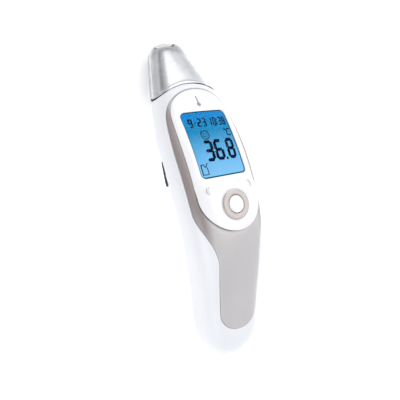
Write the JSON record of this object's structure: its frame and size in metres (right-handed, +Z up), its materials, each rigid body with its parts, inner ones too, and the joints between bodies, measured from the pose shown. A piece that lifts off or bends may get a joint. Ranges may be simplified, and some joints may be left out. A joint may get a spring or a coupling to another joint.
{
  "type": "digital ear thermometer",
  "caption": "Bent wand ear and forehead thermometer with lit display, ringed round key, flank key, probe under a clear cap, and battery door on the back.",
  "frame": {"origin": "on the floor under the middle of the box round the part, which lies on its back", "axes": "+X to the part's right as its display is read, +Y from the heel toward the probe, +Z up out of the display side"},
  "size_m": [0.0422, 0.15, 0.0406],
  "materials": {
    "shell_white": "satin moulded",
    "cover_greige": "satin painted",
    "panel_white": "high gloss",
    "lens_clear": "polished",
    "ring_greige": "high gloss",
    "key_white": "gloss",
    "key_dark": "matt",
    "cap_clear": "polished",
    "cone_silver": "silver lacquer",
    "barrel_gold": "polished",
    "holder_black": "matt",
    "can_steel": "satin",
    "sensor_glass": "polished",
    "lcd_blue": "lit display",
    "frame_white": "matt",
    "guide_white": "diffusing",
    "strip_grey": "striped",
    "board_green": "solder mask",
    "chip_black": "matt",
    "parts_tan": "ceramic",
    "cell_wrap": "printed sleeve",
    "contact_nickel": "nickel plated",
    "screw_steel": "zinc plated"
  },
  "bodies": {
    "body": {"rear_shell": "shell_white", "front_cover": "cover_greige", "display_panel": "panel_white", "display_window": "lens_clear", "button_ring": "ring_greige", "probe_cone": "cone_silver", "sensor_barrel": "barrel_gold", "sensor_holder": "holder_black", "thermopile": "can_steel", "thermopile_leads": "barrel_gold", "sensor_window": "sensor_glass", "lcd_glass": "lcd_blue", "lcd_frame": "frame_white", "backlight": "guide_white", "lcd_connector": "strip_grey", "main_board": "board_green", "controller": "chip_black", "board_parts": "parts_tan", "power_switch": "chip_black", "side_board": "board_green", "scan_switch": "chip_black", "buzzer": "holder_black", "battery_tray": "frame_white", "battery_cells": "cell_wrap", "contact_plates": "contact_nickel", "contact_springs": "contact_nickel", "case_screws": "screw_steel", "board_screws": "screw_steel"},
    "cap": {"protective_cap": "cap_clear"},
    "power_key": {"power_key": "key_white"},
    "scan_key": {"scan_key": "key_dark"},
    "battery_door": {"battery_door": "shell_white"}
  },
  "joints": [
    {"name": "cap_pull", "type": "slide", "parent": "body", "child": "cap", "axis": [0, 0.9563, -0.2924], "range_m": [0, 0.032]},
    {"name": "power_key_press", "type": "slide", "parent": "body", "child": "power_key", "axis": [0, -0.0523, -0.9986], "range_m": [0, 0.0006], "stiffness_N_per_m": 600, "springref_m": -0.001},
    {"name": "scan_key_press", "type": "slide", "parent": "body", "child": "scan_key", "axis": [0.8415, 0, 0.5402], "range_m": [0, 0.0006], "stiffness_N_per_m": 600, "springref_m": -0.001},
    {"name": "door_lift", "type": "slide", "parent": "body", "child": "battery_door", "axis": [0, 0, -1], "range_m": [0, 0.015]}
  ]
}
